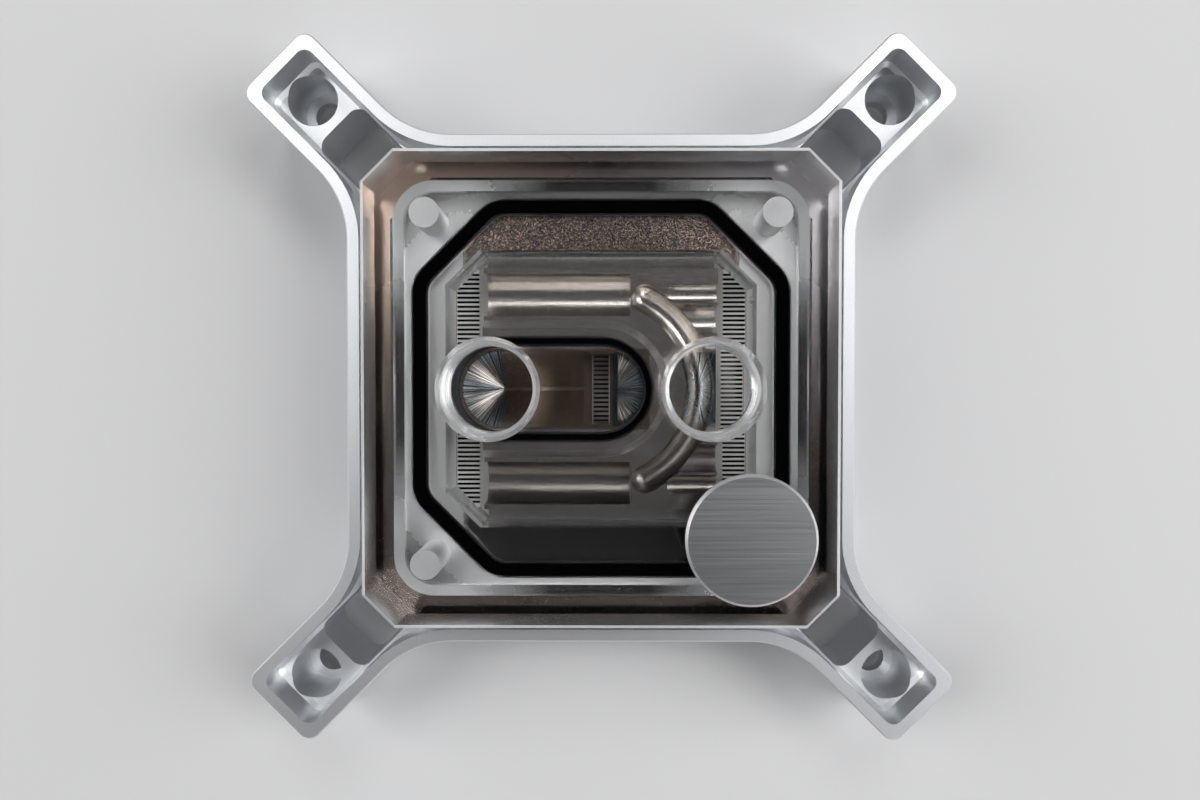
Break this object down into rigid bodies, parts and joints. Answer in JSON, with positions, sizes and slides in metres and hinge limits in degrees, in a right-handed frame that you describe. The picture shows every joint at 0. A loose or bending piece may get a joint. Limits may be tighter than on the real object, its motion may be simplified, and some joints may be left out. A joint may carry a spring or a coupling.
{
  "type": "cpu water block",
  "caption": "Square liquid-cooling block with a clear top, finned nickel-plated cold plate and a pocketed aluminium hold-down frame with four diagonal legs.",
  "frame": {"origin": "centre of the contact face, the lowest face of the cold plate's pedestal", "axes": "+Z along the contact face's normal, out of the ports; +X from the inlet port to the outlet port; +Y away from the side that has the badge"},
  "size_m": [0.0946, 0.0946, 0.0214],
  "materials": {
    "frame": "satin, lightly blasted",
    "clear_top": "polished clear acrylic",
    "cold_plate": "nickel-plated",
    "flow_insert": "nickel-plated, milled",
    "jet_plate": "thin sheet",
    "seal": "smooth black",
    "screw": "turned",
    "badge": "brushed face with a bright bevel",
    "badge_pad": "adhesive pad"
  },
  "bodies": {
    "root": {"frame": "frame", "clear_top": "clear_top", "cold_plate": "cold_plate", "flow_insert": "flow_insert", "jet_plate": "jet_plate", "main_seal": "seal", "inlet_seal": "seal", "clamp_screw_1": "screw", "clamp_screw_2": "screw", "clamp_screw_3": "screw", "clamp_screw_4": "screw", "badge": "badge", "badge_pad": "badge_pad"}
  },
  "joints": []
}
